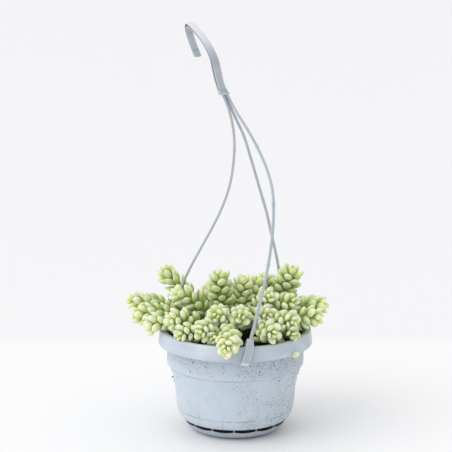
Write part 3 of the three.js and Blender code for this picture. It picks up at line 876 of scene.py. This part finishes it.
makePiece("soil_bed", soilShell(), soilSkin, ["soil"])
makePiece("soil_crumbs", crumbShell(), soilSkin)

# crumbs stuck to the outside of the pot: turn, height, size
stuckCrumbs = np.array([
    (-88, 51.5, 1.3), (-79, 50, 0.5), (-62, 60, 0.45), (-20, 70.5, 0.5), (22, 72, 0.55), (41, 61.5, 0.6),
    (58, 52, 0.6), (74, 63, 0.6), (86, 56, 0.75), (118, 60, 0.6), (171, 52, 0.5)])


def stuckShell():
    # each crumb's middle lies just outside the wall at its own height
    turn, height, size = stuckCrumbs.T
    wall = np.array(pot["body"][1:12])
    radius = np.interp(height, wall[:, 1], wall[:, 0]) + 0.15
    return scatterBalls(around(radius, turn, height), size, 0.9)


makePiece("stuck_crumbs", stuckShell(), soilSkin)
print("soil made")


stem = {"foot": 89.5, "radius": 1.9, "leafyRadius": 2.4, "steps": 64, "sides": 14}

leaf = {
    "length": 12.0, "width": 7.8,
    "thickness": 0.68, "curl": 0.18,                 # shares of the width and of the length
    "step": 1.6, "tipStep": 0.62,                    # stem length per leaf, grown and at the tip
    "settle": 5.5, "most": 160,                      # leaves that this change takes, and leaves at most
    "goldenTurn": 137.5, "tailTurn": 47,             # degrees from leaf to leaf, and tail to tail
    "extra": 9.0,                                    # leaves go on this far below the leafy part
    "leanYoung": 4, "leanGrown": 66,                 # degrees away from the stem
    # what the draw adds: degrees either way, and factors
    "jitter": 5, "sizes": (0.92, 1.08), "widths": (0.95, 1.05), "tones": 0.25,
    "rings": 7, "sides": 10,
    # tails by their number: those with larger leaves, and those whose leaves stand closer
    "plump": {5: 1.05, 6: 1.12, 14: 1.13, 16: 1.05},
    "crowded": {1: 0.85, 4: 0.72, 6: 0.72, 14: 0.68},
}

# where each tail stands (x, y), where its tip is (x, y, z), how the tip looks (turn, rise), how long
# its leafy part is, its tone with painted shade (darker below 0) and how slender its leaves are
tailRows = [
    (-38, 14, -103, 28, 121, -98, 12, 44, 0.25, 0.35),
    (-46, 4, -98, 4, 112, -86, -8, 38, 0.25, 0.15),
    (-49, -12, -84, -18, 108, -76, -10, 26, 0.2, 0.1),
    (-30, 36, -70, 44, 147, -122, 50, 40, -0.2, 0.9),
    (-24, 6, -57, 4, 134, -68, 22, 38, 0.3, 0.3),
    (-12, 6, -16, 4, 152, -90, 84, 42, -0.9, 0.2),
    (-10, -12, -18, -38, 123, -12, 14, 24, 0.2, 0.0),
    (-20, -26, -33, -53, 111, -28, -2, 22, 0.2, 0.0),
    (-34, -14, -62, -32, 116, -56, -2, 28, 0.1, 0.0),
    (-36, -32, -53, -46, 106, -50, -6, 14, -0.1, 0.0),
    (4, -16, 5, -42, 124, 4, 16, 26, 0.3, 0.0),
    (-6, -40, -8, -93, 106.7, -4, -3, 34, 0.4, 0.0),
    (24, -34, 35, -62, 112, 20, -2, 24, 0.3, 0.0),
    (34, 18, 55, 24, 153, 60, 78, 34, -0.6, 0.0),
    (32, -4, 56, -14, 131, 50, 22, 26, -0.3, 0.1),
    (46, 6, 86, 5, 122, 84, 4, 34, -0.4, 0.1),
    (46, -12, 80, -22, 117, 68, -8, 26, -0.2, 0.1),
    (34, -22, 54, -43, 118, 36, -2, 24, 0.0, 0.0),
    (18, -4, 32, -13, 136, 18, 36, 28, 0.2, 0.0),
    (16, -20, 31, -33, 121, 10, 4, 14, 0.6, 0.0),
    (18, 28, 31, 36, 143, 40, 76, 28, -0.3, 0.3),
    (4, 10, 8, 10, 147, 0, 80, 36, -0.1, 0.2),
    (14, 14, 22, 22, 144, 120, 82, 16, 0.0, 0.3),
    (46, -34, 53, -48, 106, 40, -4, 12, -0.7, 0.0),
    (-12, -46, -20, -55, 105, -20, 0, 12, -0.1, 0.0),
    (-38, 34, -60, 64, 112, -138, -2, 30, 0.0, 0.2),
    (-22, 42, -34, 84, 109, -160, -12, 30, 0.1, 0.0),
    (-2, 40, -5, 74, 118, -176, 8, 28, 0.0, 0.0),
    (18, 46, 24, 88, 107, 168, -14, 30, 0.2, 0.0),
    (38, 38, 56, 70, 113, 142, 0, 28, 0.0, 0.1),
    (50, 22, 82, 40, 114, 116, 0, 30, 0.1, 0.0),
    (-16, 24, -28, 44, 128, -150, 44, 28, 0.0, 0.2),
    (4, 26, 8, 50, 125, 178, 40, 24, 0.1, 0.1),
]


def makeSpine(row):
    # cubic Bezier: straight up out of the soil, arriving at the tip along its look; with it, at
    # each of its equal steps, the direction along it and two directions square to that
    x, y, tipX, tipY, tipZ, turn, rise = row[:7]
    foot = np.array([x, y, stem["foot"]], float)
    tip = np.array([tipX, tipY, tipZ], float)
    look = facing(turn, rise)
    reach = np.linalg.norm(tip - foot)
    controls = [foot, foot + (0, 0, max(reach * 0.5, 22)), tip - look * reach * 0.38, tip]
    t = np.linspace(0, 1, 200)[:, None]
    weights = [(1 - t) ** 3, 3 * t * (1 - t) ** 2, 3 * t * t * (1 - t), t ** 3]
    path = evenly(sum(w * c for w, c in zip(weights, controls)), stem["steps"])
    along = unit(np.gradient(path, axis=0))
    across = unit(np.cross(along, unit(np.cross((0, 0, 1), tip - foot))))
    return path, along, across, np.cross(along, across)


def growLeaves(index, row, spine):
    # leaf n, counted from the tip, stands at depth d(n) = step·n - (step - tipStep)·k·(1 - e^(-n/k)),
    # where k is settle, turned n golden angles round the stem; the older it is, the further out it
    # leans and the larger it is, up to the oldest, which are a little smaller again
    path, along, normal, across = spine
    leafyLength, toneAndShade, slim = row[7:]
    length = gapsAlong(path).sum()
    leafy = min(leafyLength + leaf["extra"], length - 10)
    step = leaf["step"] * (1 + 0.25 * slim) * leaf["crowded"].get(index + 1, 1.0)
    n = np.arange(leaf["most"])
    depth = 0.8 + step * n - (step - leaf["tipStep"]) * leaf["settle"] * (1 - np.exp(-n / leaf["settle"]))
    n, depth = n[depth < leafy], depth[depth < leafy]
    count = len(n)
    share = 1 - depth / length
    places = np.linspace(0, 1, len(path))
    base = np.stack([np.interp(share, places, path[:, axis]) for axis in range(3)], axis=1)
    nearest = np.round(share * (len(path) - 1)).astype(int)
    jitter = leaf["jitter"]
    turn = n * leaf["goldenTurn"] + chance.uniform(-jitter, jitter, count) + index * leaf["tailTurn"]
    turn = np.radians(turn)[:, None]
    outward = normal[nearest] * np.cos(turn) + across[nearest] * np.sin(turn)
    lean = leaf["leanYoung"] + (leaf["leanGrown"] - 16 * slim) * np.clip(n / 15, 0, 1) ** 0.62
    lean = lean + 6 * smoothStep(16, 40, n) + chance.uniform(-jitter, jitter, count)
    lean = np.radians(lean)[:, None]
    grown = 0.5 + 0.54 * smoothStep(-1, 7, n)
    size = grown * leaf["plump"].get(index + 1, 1.0) * chance.uniform(*leaf["sizes"], count)
    size = size * (1 - 0.12 * smoothStep(20, 36, n))
    return {
        "tail": np.full(count, index),
        "order": n,
        "base": base + outward * (0.9 + 0.5 * smoothStep(0, 9, n))[:, None],
        "forward": along[nearest],
        "direction": along[nearest] * np.cos(lean) + outward * np.sin(lean),
        "length": leaf["length"] * size * (1 + 0.16 * slim),
        "width": leaf["width"] * size * (1 - 0.16 * slim) * chance.uniform(*leaf["widths"], count),
        "slim": np.full(count, slim),
        "toneAndShade": toneAndShade + chance.normal(0, leaf["tones"], count),
    }


def leafFront(leaves):
    # the stem's direction squared to the leaf's own: it looks out of the leaf's upper face
    d = leaves["direction"]
    return unit(leaves["forward"] - d * np.sum(leaves["forward"] * d, axis=-1, keepdims=True))


def leafCurve(leaves, share):
    # middle line: base + L·(u·d + curl·u²·f), where d is the leaf's direction and f its front
    bent = share * leaves["direction"] + leaf["curl"] * share ** 2 * leafFront(leaves)
    return leaves["base"] + leaves["length"][:, None] * bent


# the balls that stand in for a leaf: where they lie along it, and how much of its width they fill
beads = {"shares": (0.36, 0.62, 0.86), "fill": (0.80, 0.92, 0.62)}
packing = {
    "rounds": 90, "rate": 1.1,
    "reach": 15.0,            # pairs of balls that start further apart than this are left out
    "spring": 0.035,          # pull back to the way a leaf grew
    "gap": 0.1, "clear": 0.2, "offSoil": 0.6,        # kept between leaves, off straps and rim, off soil
    "allowed": 0.16,          # overlap that is let be, as a share of the leaf's width
    "shrinkRounds": 9, "narrow": 0.94, "shorten": 0.955,
    "smallest": 0.62,         # a leaf that has to shrink below this is dropped
    "youngest": 5,            # leaves up to this one, from the tip, are left as they are
    "bridge": {"radii": (66, 76), "sides": (-2, 2), "height": 103.0, "ball": 3.2},
}


def leafBeads(leaves):
    # each leaf filled by three balls along its middle line
    centres = np.stack([leafCurve(leaves, share) for share in beads["shares"]], axis=1)
    radii = leaves["width"][:, None] / 2 * np.array(beads["fill"])
    return centres, radii


def obstacleBeads(spines):
    # balls along every stem and strap, and across every clip: centres, radii and the tail that a
    # stem belongs to, or -1
    centres, radii, owners = [], [], []
    bridge = packing["bridge"]

    def add(points, radius, owner):
        centres.append(points)
        radii.append(np.full(len(points), float(radius)))
        owners.append(np.full(len(points), owner))

    for index, spine in enumerate(spines):
        add(spine[0][::2], stem["leafyRadius"], index)
    for strap in straps["rows"]:
        add(evenly(strapPath(strap), 120), straps["width"] / 2 + packing["clear"], -1)
        places = [(radius, side, bridge["height"])
                  for radius in np.linspace(*bridge["radii"], 6) for side in bridge["sides"]]
        add(clipPlaced(strap, np.array(places)), bridge["ball"], -1)
    return np.vstack(centres), np.concatenate(radii), np.concatenate(owners)


def pushedFromPot(points, radii):
    # how far each ball has to move to leave the soil and the rim's ring of material
    radial = np.linalg.norm(points[..., :2], axis=-1)
    push = np.zeros_like(points)
    lowest = soilLevel(radial) + packing["offSoil"] + radii
    sunk = np.where(radial < pot["innerRadius"], lowest - points[..., 2], 0)
    push[..., 2] = np.maximum(sunk, 0)
    nearR = np.clip(radial, pot["innerRadius"] - 0.4, pot["rimRadius"])
    nearZ = np.clip(points[..., 2], pot["rimEdge"], pot["rimTop"])
    away = np.stack([radial - nearR, points[..., 2] - nearZ], axis=-1)
    distance = np.linalg.norm(away, axis=-1)
    inside = distance < 1e-6
    away = np.where(inside[..., None], (0, 1), away / np.maximum(distance, 1e-6)[..., None])
    upwards = pot["rimTop"] - points[..., 2] + radii
    depth = np.maximum(np.where(inside, upwards, radii + packing["clear"] - distance), 0)
    outward = unit(points * (1, 1, 0))
    push += outward * (away[..., 0] * depth)[..., None]
    push[..., 2] += away[..., 1] * depth
    return push


def nearPairs(points, owner, fixed, reach):
    # pairs of balls nearer than reach, from |a|² + |b|² - 2ab, leaving out pairs on one leaf and
    # pairs that are both fixed
    lengths = np.sum(points ** 2, axis=1).astype(np.float32)
    rough = points.astype(np.float32)
    gaps = lengths[:, None] + lengths[None] - 2 * rough @ rough.T
    first, second = np.nonzero(np.triu(gaps < reach * reach, 1))
    wanted = (owner[first] != owner[second]) & ~(fixed[first] & fixed[second])
    return first[wanted], second[wanted]


def packLeaves(leaves, spines):
    # turns the leaves about their bases to ease them off each other, the stems, the straps, the
    # rim and the soil, then shrinks, or drops, those that still press in too far
    count = len(leaves["order"])
    obstacles, obstacleRadii, obstacleOwners = obstacleBeads(spines)
    rest = leaves["direction"].copy()
    centres, radii = leafBeads(leaves)
    leafOf = np.concatenate([np.repeat(np.arange(count), 3), np.full(len(obstacles), -1)])
    tailOf = np.concatenate([np.repeat(leaves["tail"], 3), obstacleOwners])
    fixed = leafOf < 0
    everything = np.vstack([centres.reshape(-1, 3), obstacles])
    first, second = nearPairs(everything, leafOf, fixed, packing["reach"])
    # a leaf may sink into its own stem
    ownStem = (fixed[first] | fixed[second]) & (tailOf[first] == tailOf[second])
    first, second = first[~ownStem], second[~ownStem]
    shares = np.array(beads["shares"])

    def pressures():
        # the shove that each ball gets from all its pairs and the pot, and its worst overlap
        centres, radii = leafBeads(leaves)
        spots = np.vstack([centres.reshape(-1, 3), obstacles])
        sizes = np.concatenate([radii.ravel(), obstacleRadii])
        gap = spots[second] - spots[first]
        distance = np.linalg.norm(gap, axis=1)
        overlap = np.maximum(sizes[first] + sizes[second] + packing["gap"] - distance, 0)
        share = np.where(fixed[first] | fixed[second], 1.0, 0.5)
        shove = gap / np.maximum(distance, 1e-6)[:, None] * (overlap * share)[:, None]
        total = np.stack([
            np.bincount(second, shove[:, axis], len(spots)) - np.bincount(first, shove[:, axis], len(spots))
            for axis in range(3)], axis=1)[:count * 3].reshape(count, 3, 3)
        potPush = pushedFromPot(centres, radii)
        worst = np.zeros(len(spots))
        np.maximum.at(worst, first, overlap)
        np.maximum.at(worst, second, overlap)
        worst = worst[:count * 3].reshape(count, 3)
        return total + potPush, np.maximum(worst, np.linalg.norm(potPush, axis=-1))

    for _ in range(packing["rounds"]):
        # each ball's shove turns the leaf by shove / lever, and counts by its share
        shove = pressures()[0]
        lever = shares[None, :, None] * leaves["length"][:, None, None]
        turnBy = np.sum(shove * shares[None, :, None] / lever, axis=1) / shares.sum()
        back = (rest - leaves["direction"]) * packing["spring"]
        leaves["direction"] = unit(leaves["direction"] + turnBy * packing["rate"] + back)

    grown = leaves["order"] > packing["youngest"]
    scale = np.ones(count)
    for _ in range(packing["shrinkRounds"]):
        worst = pressures()[1]
        tight = grown & (worst.max(axis=1) > packing["allowed"] * leaves["width"])
        scale[tight] *= packing["narrow"]
        leaves["width"][tight] *= packing["narrow"]
        leaves["length"][tight] *= packing["shorten"]
    kept = ~grown | (scale > packing["smallest"])
    print("leaves grown:", count, "kept:", int(kept.sum()))
    return {key: values[kept] for key, values in leaves.items()}


def leafProfile(u, slim):
    # half width along the leaf, u^a (1 - u^3)^b over its own peak: widest past the middle and
    # drawn to a blunt point; slender leaves are widest nearer the base
    a, b = 0.56, 0.62 + 0.5 * slim
    peak = (a / (a + 3 * b)) ** (1 / 3)
    return u ** a * (1 - u ** 3) ** b / (peak ** a * (1 - peak ** 3) ** b)


def leafShell(leaves):
    # point = middle line + w/2·p(u)·(cos(t)·side + thick(t)·front), on a grid of u and t
    count = len(leaves["order"])
    u = (1 - np.cos(np.linspace(0, np.pi, leaf["rings"] + 2)[1:-1])) / 2
    t = np.linspace(0, 2 * np.pi, leaf["sides"], endpoint=False)
    front = leafFront(leaves)
    side = np.cross(front, leaves["direction"])
    middle = np.stack([leafCurve(leaves, share) for share in u], axis=1)
    half = leafProfile(u[None], leaves["slim"][:, None]) * leaves["width"][:, None] / 2
    # sin t to a power above one draws the sides out to soft edges; the upper face is flatter
    c, s = np.cos(t), np.sin(t)
    thick = np.sign(s) * np.abs(s) ** 1.2 * np.where(s > 0, 0.8, 1.1) * leaf["thickness"]
    ring = side[:, None] * c[:, None] + front[:, None] * thick[:, None]
    grid = middle[:, :, None] + ring[:, None] * half[:, :, None, None]
    template = loft(np.zeros((len(u), len(t), 3)), np.zeros(3), np.zeros(3))
    poles = np.stack([leafCurve(leaves, 0.0), leafCurve(leaves, 1.0)], axis=1)
    points = np.concatenate([grid.reshape(count, -1, 3), poles], axis=1)
    shift = np.arange(count)[:, None, None] * points.shape[1]
    quads = (template[1][None] + shift).reshape(-1, 4)
    triangles = (template[2][None] + shift).reshape(-1, 3)
    alongLeaf = np.concatenate([np.repeat(u, len(t)), [0, 1]])
    # painted shade: leaves deep in a tail and tails that lie in shade are darker and greener, on top of a
    # random tone
    shade = np.clip(0.55 + 0.4 * leaves["toneAndShade"] - 0.5 * smoothStep(9, 22, leaves["order"]), 0, 1)
    attributes = {
        "leafAlong": np.tile(alongLeaf, count),
        "leafYouth": np.repeat(smoothStep(9, 0, leaves["order"]), points.shape[1]),
        "leafShade": np.repeat(shade, points.shape[1]),
    }
    return (points.reshape(-1, 3), quads, triangles), attributes


def stemShell(row, spine):
    # a tube round the spine: r·(1 + 0.06·sin(2.4·s)) for the scars of old leaves, thicker in the
    # leafy part and drawn in at the tip
    path, (normal, across) = spine[0], spine[2:]
    s = np.linspace(0, 1, len(path)) * gapsAlong(path).sum()
    leafyLength = row[7]
    bare = s[-1] - leafyLength
    radius = stem["radius"] + (stem["leafyRadius"] - stem["radius"]) * smoothStep(bare - 4, bare + 4, s)
    radius = radius * (1 + 0.06 * np.sin(s * 2.4)) * (1 - 0.75 * smoothStep(s[-1] - 7, s[-1], s))
    t = np.linspace(0, 2 * np.pi, stem["sides"], endpoint=False)
    ring = normal[:, None] * np.cos(t)[:, None] + across[:, None] * np.sin(t)[:, None]
    return loft(path[:, None] + radius[:, None, None] * ring, path[0], path[-1])


spines = [makeSpine(row) for row in tailRows]
grownLeaves = [growLeaves(index, row, spine) for index, (row, spine) in enumerate(zip(tailRows, spines))]
allLeaves = {key: np.concatenate([leaves[key] for leaves in grownLeaves]) for key in grownLeaves[0]}
allLeaves = packLeaves(allLeaves, spines)
for index, (row, spine) in enumerate(zip(tailRows, spines)):
    node = f"tail_{index + 1:02d}"
    own = {key: values[allLeaves["tail"] == index] for key, values in allLeaves.items()}
    shell, attributes = leafShell(own)
    makePiece(node + "_leaves", shell, leafSkin, [node], attributes)
    makePiece(node + "_stem", stemShell(row, spine), stemSkin)


# fallen leaves: one pressed flat against the rim's skirt, and the rest on the soil, each given by its
# place (x, y), the turn that it points along and its length
lone = {
    "rim": {"place": (77.5, 43.6, 87.9),            # radius, turn, height
            "faces": 46.0, "points": 136.0, "length": 9.4, "width": 6.0, "toneAndShade": 1.3},
    "soil": [(14, -58, 80, 9), (26, -54, 100, 8.5), (20, -57.5, 262, 9), (9, -58, 300, 8),
             (-34, -50, 75, 8.5), (-24, -56, 262, 8.5), (41, -43, 50, 8)],
    "lift": 2.4, "rise": 0.12, "order": 12, "slim": 0.3, "toneAndShade": -0.2,
    "width": 0.6,             # share of the length
}


def loneLeaves():
    # the same leaf as on the tails; the rim's leaf has its face turned out from the pot, and the
    # rest lie face up a little above the soil's level
    rim = lone["rim"]
    x, y, turns, lengths = np.array(lone["soil"], float).T
    place = np.column_stack([x, y, soilLevel(np.hypot(x, y)) + lone["lift"]])
    count = len(x) + 1
    return leafShell({
        "order": np.full(count, lone["order"]),
        "slim": np.full(count, lone["slim"]),
        "toneAndShade": np.append(rim["toneAndShade"], np.full(len(x), lone["toneAndShade"])),
        "base": np.vstack([around(*rim["place"]), place]),
        "forward": np.vstack([facing(rim["faces"], 0), np.tile((0, 0, 1.0), (len(x), 1))]),
        "direction": unit(around(1.0, np.append(rim["points"], turns), lone["rise"])),
        "length": np.append(rim["length"], lengths),
        "width": np.append(rim["width"], lengths * lone["width"]),
    })


loneShell, loneMarks = loneLeaves()
makePiece("lone_leaves", loneShell, leafSkin, (), loneMarks)
print("tails made")


# place in metres, tilt up from straight down in degrees, focal length in pixels of an image that is
# imageWidth pixels wide, and sensor width in millimetres
camera = {"place": (-0.0091, -1.6, 0.542), "tilt": 78.03, "focal": 1690.8, "imageWidth": 452, "sensor": 36.0}

# each light: where it comes from (turn, rise), how wide it is, in degrees, and its W/m²
lights = {
    "key": {"turn": -60.0, "rise": 42.0, "spread": 48.0, "power": 0.75},
    "wash": {"turn": -85.0, "rise": 30.0, "spread": 130.0, "power": 0.75},
    "top": {"turn": 120.0, "rise": 75.0, "spread": 70.0, "power": 0.36},
    "world": 0.66,
}

# the floor: half its side, its height, its two whites and where the one turns into the other
paper = {
    "reach": 20000.0, "top": -0.05,
    "near": colour(0.955, 0.955, 0.96), "far": colour(0.905, 0.905, 0.915),
    "turnsGrey": (0.28, 0.34),          # metres behind the pot
}


def makeCamera():
    # looks along +Y, tilted down; its lens is worked out from the focal length in pixels
    data = bpy.data.cameras.new("camera")
    data.sensor_width = camera["sensor"]
    data.lens = camera["focal"] * camera["sensor"] / camera["imageWidth"]
    data.clip_end = 50
    made = addObject("camera", data)
    made.location = camera["place"]
    made.rotation_euler = (math.radians(camera["tilt"]), 0, 0)
    bpy.context.scene.camera = made


def makeLight(name, turn, rise, spread, power):
    # a wide soft light, far off, aimed at the pot
    data = bpy.data.lights.new(name, "SUN")
    data.angle = math.radians(spread)
    data.energy = power
    made = addObject(name, data)
    made.location = facing(turn, rise) * 2.5
    made.rotation_euler = (math.radians(90 - rise), 0, math.radians(turn))


def makeFloor():
    # a wide flat sheet, whitest around the pot and a shade greyer behind it
    finish = Finish("floor_paper")
    depth = finish.axes()[1]
    skin = finish.mix(depth.rise(*paper["turnsGrey"]), paper["near"], paper["far"])
    corners = [(-1, -1), (1, -1), (1, 1), (-1, 1)]
    points = np.array([(x * paper["reach"], y * paper["reach"], paper["top"]) for x, y in corners])
    mesh = bpy.data.meshes.new("floor")
    mesh.from_pydata((points * metresPerMillimetre).tolist(), [], [(0, 1, 2, 3)])
    mesh.materials.append(finish.finished(Base_Color=skin))
    addObject("floor", mesh)


def makeWorld():
    # even light from all sides
    world = bpy.data.worlds.new("studio")
    world.use_nodes = True
    background = world.node_tree.nodes["Background"]
    background.inputs["Color"].default_value = colour(0.985, 0.985, 1.0)
    background.inputs["Strength"].default_value = lights["world"]
    bpy.context.scene.world = world
    bpy.context.scene.view_settings.view_transform = "Standard"


makeCamera()
for lightName in ("key", "wash", "top"):
    makeLight(lightName, **lights[lightName])
makeFloor()
makeWorld()
print("studio made")
